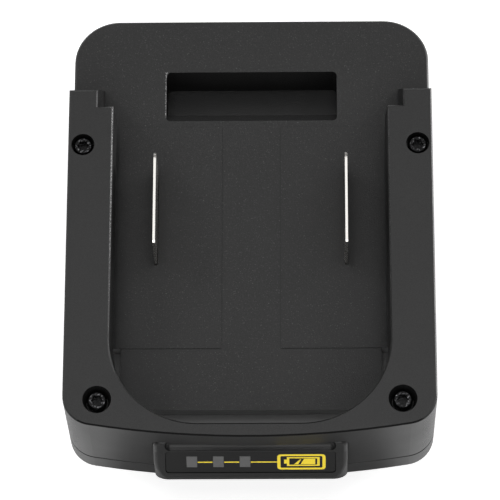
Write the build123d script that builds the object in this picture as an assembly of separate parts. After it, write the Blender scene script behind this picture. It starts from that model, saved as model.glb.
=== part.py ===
from build123d import *
import math
import os

# Tool battery adapter, in millimetres. The receptacle that takes the battery faces up (+Z),
# the foot that slides onto the tool faces down and the part rests on it. The charge gauge
# looks towards -Y, and both the battery and the tool enter at the +Y end.
# Origin: the middle of the footprint, on the underside of the foot.

# Outline of the housing, seen from above
body_width = 75.0
plate_length = 22.4
rim_length = 75.8
nose_reach = 3.7
front_bow_radius = 200.0
front_corner_radius = 6.3
plate_corner_radius = 9.5
arm_corner_radius = 0.8
arm_end_run = 6.2

# Heights, from the underside of the foot up to the rim
foot_height = 12.0
lower_wall_height = 6.6
upper_wall_height = 20.4

# Housing walls and edges
wall = 2.2
lower_floor = 2.0
receptacle_floor = 2.0
gutter_floor = 1.6
rim_edge_chamfer = 0.3
plate_edge_chamfer = 0.4
base_edge_chamfer = 1.0
seam_chamfer = 0.3
core_slot_width = 2.4
core_slot_cover = 2.5
core_slot_margin = 6.0

# Receptacle for the battery
floor_depth = 14.0
lip_half = 28.36
lip_thickness = 6.0
lip_draft = 0.45
groove_half = 31.05
groove_reach = 4.0
groove_corner_radius = 2.0
notch_half = 31.6
notch_length = 3.7
front_band = 2.9
inner_corner_radius = 18.0
pad_half = 26.75
pad_length = 13.4
gutter_run = 7.5
pad_corner_radius = 7.0
gutter_depth = 2.5
plateau_inner_half = 6.15
plateau_outer_half = 27.9
plateau_run = 2.4
plateau_rise = 0.15

# Pocket that the battery's latch drops into
pocket_half = 18.0
pocket_reach = 10.4
pocket_run = 0.9
pocket_depth = 9.4
pocket_wall = 1.6
pocket_ramp_width = 1.8
pocket_ramp_depth = 1.2
pocket_corner_radius = 0.9

# Housing screws, with six-lobe sockets
rear_screw_inset = 3.05
rear_screw_run = 12.3
front_screw_inset = 6.93
front_screw_run = 67.9
screw_radius = 1.4
screw_length = 23.0
screw_head_radius = 2.05
screw_head_height = 1.7
screw_head_chamfer = 0.4
screw_sink = 0.7
rear_well_radius = 2.38
front_well_radius = 2.9
front_well_foot_radius = 2.15
socket_radius = 1.3
socket_waist_radius = 0.95
socket_depth = 1.2
socket_lobes = 6
boss_radius = 3.2

# Contact blades for the battery
blade_spacing = 39.4
blade_run = 12.8
blade_length = 20.7
blade_thickness = 0.5
blade_top_gap = 1.75
blade_lead_radius = 2.0
blade_end_radius = 0.6
blade_tab_width = 6.2
blade_tab_length = 10.0
blade_tab_inset = 1.0

# Carrier that holds the blades under the receptacle floor
carrier_half = 24.5
carrier_thickness = 3.0
carrier_margin = 2.5
carrier_corner_radius = 1.5
carrier_boss_radius = 2.5
carrier_boss_gap = 0.3
carrier_screw_half = 8.5
carrier_screw_radius = 1.0
carrier_screw_head_radius = 2.8
carrier_screw_head_height = 1.4
carrier_screw_length = 3.6

# Charge gauge: bezel, tilted panel, key and windows
gauge_tilt = 30.0
panel_cheek = 2.5
panel_height = 5.5
panel_thickness = 1.0
panel_corner_radius = 0.7
panel_top_gap = 8.8
panel_top_reach = 0.35
panel_sink = 0.12
bezel_half = 19.6
bezel_top_gap = 5.9
bezel_foot_gap = 2.1
bezel_crown_reach = 0.65
bezel_nose_radius = 1.3
bezel_chin_drop = 1.9
bezel_corner_radius = 3.0
bezel_face_corner_radius = 1.6
bezel_foot_reach = 0.7
bezel_edge_round = 1.0
cove_cheek = 2.4
cove_radius = 1.56
cove_reach = 0.2
cove_rise = 2.0
cove_end_round = 1.2
receptacle_skin = 1.1
window_width = 2.15
window_height = 2.84
window_pitch_share = 0.1567
window_inset = 5.25
window_count = 3
key_width = 8.2
key_height = 2.7
key_inset = 6.85
key_thickness = 0.75
key_nib_radius = 0.8
key_travel = 0.3
guide_bar_height = 2.9
guide_bar_thickness = 0.4

# Gauge board and what it carries
board_cheek = 3.4
board_height = 10.8
board_thickness = 0.8
led_width = 1.6
led_height = 0.8
led_depth = 0.5
switch_width = 3.6
switch_height = 2.6
switch_depth = 0.6
plunger_radius = 0.7
plunger_reach = 0.45
plunger_sink = 0.2

# Protection board in the lower housing
main_board_half = 26.0
main_board_gap = 9.1
main_board_rear_run = 10.2
main_board_thickness = 1.6
main_board_lift = 1.0
main_board_corner_radius = 2.0
standoff_radius = 2.6
board_screw_half = 23.2
board_screw_front_inset = 3.5
board_screw_rear_inset = 4.0
board_screw_radius = 1.0
board_screw_length = 3.4
board_screw_head_radius = 1.9
board_screw_head_height = 1.2
mosfet_inset = 10.5
mosfet_width = 6.6
mosfet_length = 6.1
mosfet_height = 2.3
mosfet_chamfer = 0.4
mosfet_tab_length = 1.1
mosfet_tab_height = 0.6
chip_size = 7.0
chip_height = 1.2
chip_chamfer = 0.3
chip_run = 12.9
capacitor_radius = 2.0
capacitor_height = 3.1
capacitor_base = 4.3
capacitor_base_height = 0.6
capacitor_chamfer = 0.3
fuse_length = 7.4
fuse_width = 3.6
fuse_height = 2.8
fuse_chamfer = 0.35
fuse_outset = 2.3
fuse_run = 7.3

# Foot that slides onto the tool
foot_rear_inset = 5.0
foot_length = 62.0
neck_half = 24.5
flange_half = 29.0
groove_height = 5.0
foot_wall = 2.0
foot_corner_radius = 3.0
foot_edge_chamfer = 0.8
hollow_half = 21.6
hollow_length = 26.0
power_slot_half = 17.0
power_slot_width = 2.4
signal_slot_pitch = 7.0
signal_slot_width = 1.6
slot_run = 21.0
slot_height = 8.0

# Terminal block and its clips
block_height = 8.7
block_post_half = 12.0
block_post_radius = 2.2
block_post_inset = 2.9
block_ear_thickness = 3.0
block_screw_radius = 1.0
block_screw_length = 7.5
block_screw_head_radius = 1.9
block_screw_head_height = 1.2
clip_length = 13.0
clip_inset = 2.6
clip_leaf = 0.5
clip_base_half = 1.7
clip_waist_half = 0.3
clip_mouth_half = 1.05
clip_height = 6.8
clip_waist_share = 0.35
clip_tail_length = 3.2
signal_clip_length = 9.0
signal_clip_scale_share = 0.62

# Release latch
latch_travel = 3.6
latch_half = 15.0
tongue_front = 13.0
tongue_length = 9.0
tongue_drop = 3.4
tongue_ramp = 2.6
latch_wing_half = 18.4
latch_wing_thickness = 2.0
latch_wing_margin = 0.9
tab_thickness = 3.4
tab_front_inset = 0.9
tab_round = 0.9
tab_grip_count = 4
tab_grip_pitch = 1.5
tab_grip_radius = 0.4
guide_rib_thickness = 1.2
guide_rib_height = 5.0
spring_half = 11.8
spring_radius = 2.2
spring_wire_radius = 0.25
spring_turns = 5
spring_steps = 10
spring_pin_radius = 1.6
spring_pin_height = 1.7
roof_pin_height = 1.0

# Leads inside the housing
power_lead_radius = 1.1
power_lead_rest = 3.5
signal_lead_radius = 0.6
output_lead_half = 12.0
gauge_lead_radius = 0.5
gauge_lead_count = 3
gauge_lead_pitch = 1.5
gauge_lead_rest = 1.2
lead_overhang = 2.4
lead_sides = 6

# The share of a lead's shorter run that an arc takes on each side of its corner
arc_share = 0.45

# Clearances, and the overrun of every cut
seat_gap = 0.1
slide_gap = 0.3
key_gap = 0.13
thread_gap = 0.03
stop_gap = 0.3
overrun = 1.0

# Places worked out from the sizes above
half_width = body_width / 2
overall_length = plate_length + rim_length + nose_reach
rear_y = overall_length / 2
arms_y = rear_y - plate_length
front_y = arms_y - rim_length
nose_y = front_y - nose_reach
shoulder_z = foot_height
lower_floor_z = shoulder_z + lower_floor
seam_z = shoulder_z + lower_wall_height
rim_z = seam_z + upper_wall_height
floor_z = rim_z - floor_depth
lip_z = rim_z - lip_thickness
gutter_z = floor_z - gutter_depth
high_roof_z = floor_z - receptacle_floor
low_roof_z = gutter_z - gutter_floor
inner_front_y = front_y + front_band
pad_front_y = inner_front_y + gutter_run
pad_rear_y = pad_front_y + pad_length
groove_front_y = pad_rear_y - groove_reach
pocket_rear_y = arms_y + pocket_reach
pocket_front_y = arms_y - pocket_run
pocket_floor_z = floor_z - pocket_depth
blade_x = blade_spacing / 2
mosfet_half = blade_x - mosfet_inset
fuse_offset = blade_x + fuse_outset
blade_rear_y = arms_y - blade_run
blade_front_y = blade_rear_y - blade_length
blade_top_z = rim_z - blade_top_gap
panel_width = 2 * (bezel_half - panel_cheek)
cove_half = bezel_half - cove_cheek
board_half = bezel_half - board_cheek
window_pitch = panel_width * window_pitch_share
window_offset = panel_width / 2 - window_inset
key_offset = panel_width / 2 - key_inset
carrier_z = high_roof_z - carrier_thickness
carrier_front_y = blade_front_y - carrier_margin
carrier_rear_y = blade_rear_y + carrier_margin
carrier_screw_y = (carrier_front_y + carrier_rear_y) / 2
rear_screw_x = half_width - rear_screw_inset
front_screw_x = half_width - front_screw_inset
rear_screw_y = arms_y - rear_screw_run
front_screw_y = arms_y - front_screw_run
screw_places = [
    (-rear_screw_x, rear_screw_y),
    (rear_screw_x, rear_screw_y),
    (-front_screw_x, front_screw_y),
    (front_screw_x, front_screw_y),
]
bezel_top_z = rim_z - bezel_top_gap
bezel_foot_z = seam_z - bezel_foot_gap
bezel_back_y = inner_front_y - receptacle_skin
panel_top_y = front_y - panel_top_reach
panel_top_z = rim_z - panel_top_gap
tilt = math.radians(gauge_tilt)
panel_mid_y = panel_top_y - panel_height / 2 * math.sin(tilt)
panel_mid_z = panel_top_z - panel_height / 2 * math.cos(tilt)
panel_plane = Plane(
    origin=(0, panel_mid_y, panel_mid_z),
    x_dir=(1, 0, 0),
    z_dir=(0, -math.cos(tilt), math.sin(tilt)),
)
board_back_y = bezel_back_y
board_front_y = board_back_y - board_thickness
board_top_z = panel_mid_z + guide_bar_height / 2 + seat_gap
board_foot_z = board_top_z - board_height
foot_rear_y = rear_y - foot_rear_inset
foot_front_y = foot_rear_y - foot_length
flange_top_z = shoulder_z - groove_height
hollow_rear_y = foot_rear_y - foot_wall
hollow_front_y = hollow_rear_y - hollow_length
slot_front_y = foot_rear_y - slot_run
main_board_z = lower_floor_z + main_board_lift
main_board_top_z = main_board_z + main_board_thickness
block_z = foot_wall + seat_gap
block_top_z = block_z + block_height
post_y = hollow_front_y + block_post_inset
post_top_z = block_top_z - block_ear_thickness
tongue_front_y = front_y + tongue_front
tongue_rear_y = tongue_front_y + tongue_length
main_board_front_y = tongue_rear_y + main_board_gap
main_board_rear_y = arms_y - main_board_rear_run
tongue_z = shoulder_z - tongue_drop
wing_z = lower_floor_z + stop_gap
wing_top_z = wing_z + latch_wing_thickness
tab_top_z = bezel_foot_z - stop_gap - latch_travel
tab_z = tab_top_z - tab_thickness
spring_y = (tongue_front_y + tongue_rear_y) / 2


def about(middle, half):
    """The two ends of a span, from its middle and half its length."""
    return (middle - half, middle + half)


def block(x_ends, y_ends, z_ends):
    """A box between two corners, given as the ends of each side."""
    middle = [sum(ends) / 2 for ends in (x_ends, y_ends, z_ends)]
    sides = [ends[1] - ends[0] for ends in (x_ends, y_ends, z_ends)]
    return Pos(*middle) * Box(*sides)


def slab(sketch, z_ends):
    """A sketch of the plan, made solid between two heights."""
    return extrude(Pos(0, 0, z_ends[0]) * sketch, z_ends[1] - z_ends[0])


def post(place, radius, z_ends):
    """An upright cylinder."""
    return slab(Pos(*place) * Circle(radius), z_ends)


def cone(place, low_radius, high_radius, z_ends):
    """An upright cone."""
    low, high = z_ends
    return Pos(place[0], place[1], (low + high) / 2) * Cone(low_radius, high_radius, high - low)


def across(points, half):
    """A side profile of (y, z) points, made solid over the width from -half to half."""
    return extrude(Plane.YZ * make_face(Polyline(*points, close=True)), half, both=True)


def both_sides(shape):
    """The shape and its mirror image across the middle plane."""
    return shape + mirror(shape, Plane.YZ)


def lead(points, radius):
    """A hidden wire along a route, six-sided to keep it light, with an arc at each corner."""
    route = [Vector(*point) for point in points]
    radii = []
    for before, corner, after in zip(route, route[1:], route[2:]):
        run = min((corner - before).length, (after - corner).length)
        turn = math.radians((corner - before).get_angle(after - corner))
        radii.append(arc_share * run / math.tan(turn / 2))
    path = FilletPolyline(*route, radius=radii)
    start = Plane(origin=path @ 0, z_dir=path % 0)
    return sweep(start * RegularPolygon(radius, lead_sides), path=path)


def housing_plan(rear, rear_radius):
    """The housing from above: straight sides and a bowed front, up to the given rear edge."""
    side_y = front_y + front_bow_radius - math.sqrt(front_bow_radius**2 - half_width**2)
    bow = ThreePointArc((-half_width, side_y), (0, front_y), (half_width, side_y))
    right, left = half_width, -half_width
    sides = Polyline((right, side_y), (right, rear), (left, rear), (left, side_y))
    plan = make_face(bow + sides)
    plan = fillet(plan.vertices().sort_by(Axis.Y)[:2], front_corner_radius)
    return fillet(plan.vertices().sort_by(Axis.Y)[-2:], rear_radius)


def receptacle_plan(half, front, radius):
    """The receptacle from above: open at the rear, with round corners at the front."""
    rear = rear_y + overrun
    plan = make_face(Polyline((-half, rear), (-half, front), (half, front), (half, rear), close=True))
    return fillet(plan.vertices().sort_by(Axis.Y)[:2], radius)


def pad_plan(inset):
    """The raised pad at the closed end of the receptacle, drawn in by a wall."""
    half = pad_half - inset
    front = pad_front_y + inset
    plan = make_face(
        Polyline((-half, pad_rear_y), (-half, front), (half, front), (half, pad_rear_y), close=True)
    )
    return fillet(plan.vertices().sort_by(Axis.Y)[:2], pad_corner_radius - inset)


def receptacle_cuts():
    """What is cut from above for the battery: mouth, rail grooves, gutter and notches."""
    drawn_in = lip_half - lip_draft
    draft_angle = math.degrees(math.atan(lip_draft / lip_thickness))
    mouth_plan = receptacle_plan(lip_half, inner_front_y, inner_corner_radius)
    mouth = extrude(Pos(0, 0, rim_z) * mouth_plan, -lip_thickness, taper=draft_angle)
    low_plan = receptacle_plan(drawn_in, inner_front_y + lip_draft, inner_corner_radius - lip_draft)
    groove_plan = receptacle_plan(groove_half, groove_front_y, groove_corner_radius)
    hall = slab(low_plan + groove_plan, (floor_z, lip_z))
    behind_pad = block(about(0, half_width), (pad_rear_y, rear_y + 2 * overrun), (gutter_z, floor_z))
    gutter = slab(low_plan + groove_plan, (gutter_z, floor_z)) - behind_pad
    gutter -= slab(pad_plan(0), (gutter_z, floor_z))
    low, high = about(0, groove_half), about(0, notch_half)
    corners = [(low[0], lip_z), (high[0], rim_z), (high[1], rim_z), (low[1], lip_z)]
    slant = Plane.XZ * make_face(Polyline(*corners, close=True))
    notch = Pos(0, arms_y - notch_length, 0) * extrude(slant, -notch_length - arm_end_run - overrun)
    return mouth + hall + gutter + notch


def plateaus():
    """The slightly raised stretches of the floor around the blades."""
    x_ends = (plateau_inner_half, plateau_outer_half)
    y_ends = (pad_rear_y, arms_y - plateau_run)
    return both_sides(block(x_ends, y_ends, (high_roof_z, floor_z + plateau_rise)))


def pocket_cut():
    """The latch pocket, with a ramp down from its front edge."""
    length = pocket_rear_y - pocket_front_y
    plan = RectangleRounded(2 * pocket_half, length, pocket_corner_radius)
    well = slab(Pos(0, pocket_front_y + length / 2) * plan, (pocket_floor_z, floor_z + overrun))
    ramp_y = pocket_front_y + pocket_ramp_width
    ramp_z = floor_z - pocket_ramp_depth
    under_ramp = [
        (pocket_front_y, floor_z), (ramp_y, ramp_z),
        (ramp_y, pocket_floor_z), (pocket_front_y, pocket_floor_z),
    ]
    return well - across(under_ramp, half_width)


def screw_wells():
    """Counterbores and shank holes for the four housing screws."""
    seat_z = rim_z - screw_sink - screw_head_height
    cuts = []
    for place in screw_places[:2]:
        cuts.append(post(place, rear_well_radius, (seat_z, rim_z + overrun)))
    for place in screw_places[2:]:
        cuts.append(cone(place, front_well_foot_radius, front_well_radius, (seat_z, rim_z)))
    for place in screw_places:
        cuts.append(post(place, screw_radius + seat_gap, (seam_z - overrun, seat_z)))
    return sum(cuts[1:], cuts[0])


def inside_plan():
    """The housing's hollow from above, with the screw bosses left standing."""
    shell = offset(housing_plan(rear_y, plate_corner_radius), -wall)
    for x, y in screw_places:
        shell -= Pos(x, y) * Circle(boss_radius)
        outward = half_width if x > 0 else -half_width
        shell -= Pos((x + outward) / 2, y) * Rectangle(abs(outward - x), 2 * boss_radius)
    return shell


def upper_hollow():
    """The hollow under the receptacle, low at the gutter and high behind it."""
    low = slab(inside_plan(), (seam_z, low_roof_z))
    levels = (seam_z, high_roof_z)
    step_y = pad_rear_y + gutter_floor
    behind = block(about(0, half_width - wall), (arms_y + wall, rear_y - plate_corner_radius), levels)
    middle = block(about(0, lip_half), (step_y, arms_y + wall), levels)
    under_pad = slab(pad_plan(gutter_floor), levels)
    link = block(about(0, pad_half - gutter_floor), about(step_y, overrun + gutter_floor), levels)
    return low + behind + middle + under_pad + link


def arm_ends():
    """What is cut from the arms so that their ends slope down to the rear plate."""
    foot_y = arms_y + arm_end_run
    points = [(arms_y, rim_z), (foot_y, floor_z), (foot_y + overrun, floor_z), (foot_y + overrun, rim_z)]
    return across(points, half_width + overrun)


def arm_cores():
    """Slots that core the thick arms out from below."""
    outer = half_width - wall
    y_ends = (front_screw_y + core_slot_margin, rear_screw_y - core_slot_margin)
    return both_sides(block((outer - core_slot_width, outer), y_ends, (seam_z, rim_z - core_slot_cover)))


def bezel_front(extra, y_ends):
    """The bezel's outline seen from the front, made solid between two places along Y."""
    middle = (bezel_foot_z + bezel_top_z) / 2
    height = bezel_top_z - bezel_foot_z + 2 * extra
    outline = RectangleRounded(2 * (bezel_half + extra), height, bezel_face_corner_radius + extra)
    return Pos(0, y_ends[0], 0) * extrude(Plane.XZ * (Pos(0, middle) * outline), y_ends[0] - y_ends[1])


def gauge_window():
    """The opening in the front wall that the gauge bezel fills."""
    y_ends = (nose_y, front_y + wall + overrun)
    through = block(about(0, board_half + seat_gap), y_ends, (seam_z - overrun, low_roof_z))
    return bezel_front(seat_gap, (nose_y, bezel_back_y)) + through


def blade_slots(z_ends):
    """Slots that the two blades pass through."""
    y_ends = (blade_front_y - seat_gap, blade_rear_y + seat_gap)
    return both_sides(block(about(blade_x, blade_thickness / 2 + seat_gap), y_ends, z_ends))


def shell_blank():
    """The upper moulding before its cavities: plate, arms and closed end."""
    body = slab(housing_plan(rear_y, plate_corner_radius), (seam_z, floor_z))
    top_edges = body.faces().sort_by(Axis.Z)[-1].edges()
    body = chamfer(top_edges.filter_by(lambda edge: edge.center().Y > arms_y + wall), plate_edge_chamfer)
    body = chamfer(body.faces().sort_by(Axis.Z)[0].edges(), seam_chamfer)
    arms_foot_z = floor_z - plate_edge_chamfer
    arms = slab(housing_plan(arms_y + arm_end_run, arm_corner_radius), (arms_foot_z, rim_z))
    body += arms - arm_ends()
    body -= receptacle_cuts()
    return chamfer(body.faces().sort_by(Axis.Z)[-1].edges(), rim_edge_chamfer)


def upper_housing():
    """Rim, rails, receptacle floor, rear plate and latch pocket in one moulding."""
    body = shell_blank() - upper_hollow() - arm_cores() + plateaus()
    tub_y = (pocket_front_y - pocket_wall, pocket_rear_y + pocket_wall)
    body += block(about(0, pocket_half + pocket_wall), tub_y, (pocket_floor_z - pocket_wall, high_roof_z))
    body -= pocket_cut() + screw_wells() + blade_slots((high_roof_z - overrun, floor_z + overrun))
    for side in (-1, 1):
        place = (side * carrier_screw_half, carrier_screw_y)
        body += post(place, carrier_boss_radius, (carrier_z + carrier_boss_gap, high_roof_z))
        body -= post(place, carrier_screw_radius + thread_gap, (carrier_z, carrier_z + carrier_screw_length))
        spring_place = (side * spring_half, spring_y)
        body += post(spring_place, spring_pin_radius, (high_roof_z - roof_pin_height, high_roof_z))
    return body - gauge_window()


def foot_profile(half, z_ends):
    """One step of the foot from above, with round corners at its leading end."""
    plan = Pos(0, (foot_front_y + foot_rear_y) / 2) * Rectangle(2 * half, foot_length)
    plan = fillet(plan.vertices().sort_by(Axis.Y)[-2:], foot_corner_radius)
    return slab(plan, z_ends)


def slot_places():
    """Each terminal slot as its middle and its width."""
    power = [(-power_slot_half, power_slot_width), (power_slot_half, power_slot_width)]
    signal = [(n * signal_slot_pitch, signal_slot_width) for n in (-1, 0, 1)]
    return power + signal


def terminal_slots(floor_level):
    """The slots that let the tool's blades in, from the leading end of the foot."""
    y_ends = (slot_front_y, foot_rear_y + overrun)
    slots = [block(about(x, width / 2), y_ends, (floor_level, slot_height)) for x, width in slot_places()]
    return sum(slots[1:], slots[0])


def lower_housing():
    """The lower shell with the tool foot, screw bosses, standoffs and latch guides."""
    body = slab(housing_plan(rear_y, plate_corner_radius), (shoulder_z, seam_z))
    body = chamfer(body.faces().sort_by(Axis.Z)[0].edges(), base_edge_chamfer)
    body = chamfer(body.faces().sort_by(Axis.Z)[-1].edges(), seam_chamfer)
    body -= slab(inside_plan(), (lower_floor_z, seam_z + overrun))
    body += tool_foot()
    hollow_y = (hollow_front_y, hollow_rear_y)
    body -= block(about(0, hollow_half), hollow_y, (foot_wall, lower_floor_z + overrun))
    body -= terminal_slots(-overrun)
    for place in screw_places:
        body -= post(place, screw_radius + thread_gap, (shoulder_z + lower_floor / 2, seam_z + overrun))
    for place in board_screw_places():
        body += post(place, standoff_radius, (lower_floor_z, main_board_z))
        bore_z = (main_board_z - board_screw_length, main_board_z)
        body -= post(place, board_screw_radius + thread_gap, bore_z)
    for x in (-block_post_half, block_post_half):
        body += post((x, post_y), block_post_radius, (foot_wall, post_top_z))
        body -= post((x, post_y), block_screw_radius + thread_gap, (foot_wall, post_top_z))
    return body - latch_throat() + latch_guides()


def tool_foot():
    """The foot: a wide flange on a narrower neck, so that the tool's rails slide between."""
    foot = foot_profile(flange_half, (0, flange_top_z))
    foot = chamfer(foot.faces().sort_by(Axis.Z)[0].edges(), foot_edge_chamfer)
    return foot + foot_profile(neck_half, (flange_top_z, shoulder_z + lower_floor / 2))


def latch_throat():
    """The way through the floor and front wall for the latch, and the gauge bezel's seat."""
    wall_y = (nose_y, front_y + wall + overrun)
    x_ends = about(0, latch_half + slide_gap)
    throat = block(x_ends, (nose_y, tongue_rear_y + slide_gap), (shoulder_z - overrun, lower_floor_z))
    throat += block(x_ends, wall_y, (shoulder_z - overrun, seam_z + overrun))
    return throat + bezel_front(seat_gap, wall_y)


def latch_guides():
    """A rib on each side of the latch's wings."""
    rib_x = about(latch_wing_half + slide_gap + guide_rib_thickness / 2, guide_rib_thickness / 2)
    rib_y = (tongue_front_y - latch_wing_margin, tongue_rear_y + latch_wing_margin)
    return both_sides(block(rib_x, rib_y, (lower_floor_z, lower_floor_z + guide_rib_height)))


def board_screw_places():
    """The middles of the four board screws."""
    rows = (main_board_front_y + board_screw_front_inset, main_board_rear_y - board_screw_rear_inset)
    return [(x, y) for x in (-board_screw_half, board_screw_half) for y in rows]


def driver_socket():
    """The outline of a six-lobe driver socket, with straight flanks to keep it light."""
    corners = []
    for n in range(2 * socket_lobes):
        angle = math.pi * n / socket_lobes
        reach = socket_radius if n % 2 == 0 else socket_waist_radius
        corners.append((reach * math.cos(angle), reach * math.sin(angle)))
    return make_face(Polyline(*corners, close=True))


def housing_screws():
    """Four screws from the rim down into the lower housing."""
    top = rim_z - screw_sink
    seat = top - screw_head_height
    head = post((0, 0), screw_head_radius, (seat, top))
    head = chamfer(head.faces().sort_by(Axis.Z)[-1].edges(), screw_head_chamfer)
    head -= slab(driver_socket(), (top - socket_depth, top + overrun))
    screw = head + post((0, 0), screw_radius, (seat - screw_length, seat))
    return [Pos(x, y) * screw for x, y in screw_places]


def blade():
    """One contact blade: an upright tongue with a solder tab folded inwards below the carrier."""
    foot_z = carrier_z - blade_thickness
    height = blade_top_z - foot_z
    outline = Pos(blade_front_y + blade_length / 2, foot_z + height / 2) * Rectangle(blade_length, height)
    outline = fillet(outline.vertices().sort_by(lambda v: v.Y + v.X)[-1], blade_lead_radius)
    outline = fillet(outline.vertices().sort_by(lambda v: v.Y - v.X)[-1], blade_end_radius)
    tongue = Pos(blade_x, 0, 0) * extrude(Plane.YZ * outline, blade_thickness / 2, both=True)
    tab_front = blade_front_y + blade_tab_inset
    tab_y = (tab_front, tab_front + blade_tab_length)
    return tongue + block((blade_x - blade_tab_width, blade_x), tab_y, (foot_z, carrier_z))


def blade_carrier():
    """The insulating block that grips both blades from below the floor."""
    length = carrier_rear_y - carrier_front_y
    plan = Pos(0, carrier_screw_y) * RectangleRounded(2 * carrier_half, length, carrier_corner_radius)
    through = (carrier_z - overrun, high_roof_z + overrun)
    body = slab(plan, (carrier_z, high_roof_z)) - blade_slots(through)
    for side in (-1, 1):
        place = (side * carrier_screw_half, carrier_screw_y)
        body -= post(place, carrier_boss_radius + seat_gap, through)
    return body


def small_screw(radius, length, head_radius, head_height, seat):
    """A small flat-headed screw whose head sits on the given height, shank down."""
    return post((0, 0), head_radius, (seat, seat + head_height)) + post((0, 0), radius, (seat - length, seat))


def carrier_screws():
    """Two screws that hold the carrier up against the floor, heads down."""
    length = carrier_screw_length - seat_gap
    screw = small_screw(carrier_screw_radius, length, carrier_screw_head_radius, carrier_screw_head_height, 0)
    screw = Pos(0, carrier_screw_y, carrier_z) * mirror(screw, Plane.XY)
    return [Pos(side * carrier_screw_half, 0, 0) * screw for side in (-1, 1)]


def gauge_cut(width, height, centre_x, y_ends):
    """A straight cut along Y with a size measured on the tilted panel."""
    half_z = height / 2 * math.cos(tilt)
    return block(about(centre_x, width / 2), y_ends, about(panel_mid_z, half_z))


def window_centres():
    """The middles of the gauge's square windows."""
    return [n * window_pitch - window_offset for n in range(window_count)]


def panel_slab(width, height, near, far, radius):
    """A plate that lies along the panel, from near to far below the panel's face."""
    return extrude(panel_plane * (Pos(0, 0, -far) * RectangleRounded(width, height, radius)), far - near)


def gauge_bezel():
    """The bump around the gauge: tilted face, rounded nose, and a cove along its top."""
    face_run = panel_height + bezel_nose_radius / 2
    nose_top = (panel_top_y - face_run * math.sin(tilt), panel_top_z - face_run * math.cos(tilt))
    chin_z = nose_top[1] - bezel_chin_drop
    crown = (front_y + bezel_crown_reach, bezel_top_z)
    points = [
        (bezel_back_y, bezel_top_z),
        crown,
        (panel_top_y, panel_top_z),
        (nose_y, panel_top_z - (panel_top_y - nose_y) / math.tan(tilt)),
        (nose_y, chin_z),
        (front_y + bezel_foot_reach, bezel_foot_z),
        (bezel_back_y, bezel_foot_z),
    ]
    body = across(points, bezel_half)
    plan = Pos(0, (nose_y + bezel_back_y) / 2) * Rectangle(2 * bezel_half, bezel_back_y - nose_y)
    plan = fillet(plan.vertices().sort_by(Axis.Y)[:2], bezel_corner_radius)
    body &= slab(plan, (bezel_foot_z, bezel_top_z))
    body &= bezel_front(0, (nose_y, bezel_back_y))
    body = fillet(bezel_rim_edges(body), bezel_edge_round) - cove_cut()
    seat = (panel_width + 2 * seat_gap, panel_height + 2 * seat_gap)
    body -= panel_slab(*seat, -overrun, panel_sink + panel_thickness, panel_corner_radius)
    return body - gauge_hollow()


def bezel_rim_edges(body):
    """The side edges of the bezel's two sloping faces, and the edge of its nose."""
    slopes = body.faces().filter_by(GeomType.PLANE)
    slopes = slopes.filter_by(lambda face: face.normal_at().Y < 0 < face.normal_at().Z)
    edges = ShapeList(edge for face in slopes for edge in face.edges())
    sides = edges.filter_by(lambda edge: abs(edge.center().X) > cove_half)
    nose = edges.filter_by(Axis.X).sort_by(Axis.Z)[0]
    return sides + [nose]


def cove_cut():
    """The concave scoop between the wall above the gauge and the panel's upper edge."""
    axis = Plane(origin=(-cove_half, panel_top_y + cove_reach, panel_top_z + cove_rise), z_dir=(1, 0, 0))
    scoop = extrude(axis * Circle(cove_radius), 2 * cove_half)
    return fillet(scoop.edges().filter_by(GeomType.CIRCLE), cove_end_round)


def gauge_hollow():
    """The room behind the panel for the board, the LEDs and the switch."""
    board_y = (board_front_y - seat_gap, bezel_back_y + overrun)
    board = block(about(0, board_half + seat_gap), board_y, (bezel_foot_z - overrun, board_top_z + seat_gap))
    half_z = guide_bar_height / 2 + seat_gap
    half_x = panel_width / 2 - panel_thickness
    front = block(about(0, half_x), (panel_mid_y, board_front_y), about(panel_mid_z, half_z))
    panel_back = panel_sink + panel_thickness
    face = panel_slab(2 * panel_width, 2 * panel_height, -overrun, panel_back, panel_corner_radius)
    return board + (front - face)


def gauge_panel():
    """The dark face of the gauge, with openings for the windows and the key."""
    back = panel_sink + panel_thickness
    plate = panel_slab(panel_width, panel_height, panel_sink, back, panel_corner_radius)
    y_ends = (nose_y, bezel_back_y)
    for x in window_centres():
        plate -= gauge_cut(window_width + seat_gap, window_height + seat_gap, x, y_ends)
    plate -= gauge_cut(key_width + 2 * key_gap, key_height + 2 * key_gap, key_offset, y_ends)
    return plate


def light_guide():
    """The clear bar behind the panel, with a square prism in each window."""
    y_ends = (nose_y, bezel_back_y)
    near = panel_sink + panel_thickness + seat_gap / 2
    far = near + guide_bar_thickness
    x_ends = (window_centres()[0] - window_width, window_centres()[-1] + window_width)
    bar = panel_slab(panel_width, panel_height, near, far, panel_corner_radius)
    bar &= block(x_ends, y_ends, about(panel_mid_z, guide_bar_height / 2))
    root = near + guide_bar_thickness / 2
    prisms = panel_slab(panel_width, panel_height, panel_sink, root, panel_corner_radius)
    for x in window_centres():
        bar += prisms & gauge_cut(window_width, window_height, x, y_ends)
    return bar


def gauge_key():
    """The key beside the windows, with a nib that presses the switch."""
    cap = gauge_cut(key_width, key_height, key_offset, (nose_y, bezel_back_y))
    cap &= panel_slab(panel_width, panel_height, panel_sink, panel_sink + key_thickness, panel_corner_radius)
    nib_front_y = panel_mid_y + key_thickness / math.cos(tilt) / 2
    return cap + along_y(key_nib_radius, nib_front_y, plunger_tip_y() - seat_gap / 2)


def plunger_tip_y():
    """The end of the switch's plunger that the key's nib meets."""
    return board_front_y - switch_depth - plunger_reach


def gauge_board():
    """The small board that stands behind the gauge panel."""
    return block(about(0, board_half), (board_front_y, board_back_y), (board_foot_z, board_top_z))


def gauge_leds():
    """One LED behind each window."""
    y_ends = (board_front_y - led_depth, board_front_y)
    z_ends = about(panel_mid_z, led_height / 2)
    return [block(about(x, led_width / 2), y_ends, z_ends) for x in window_centres()]


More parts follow.
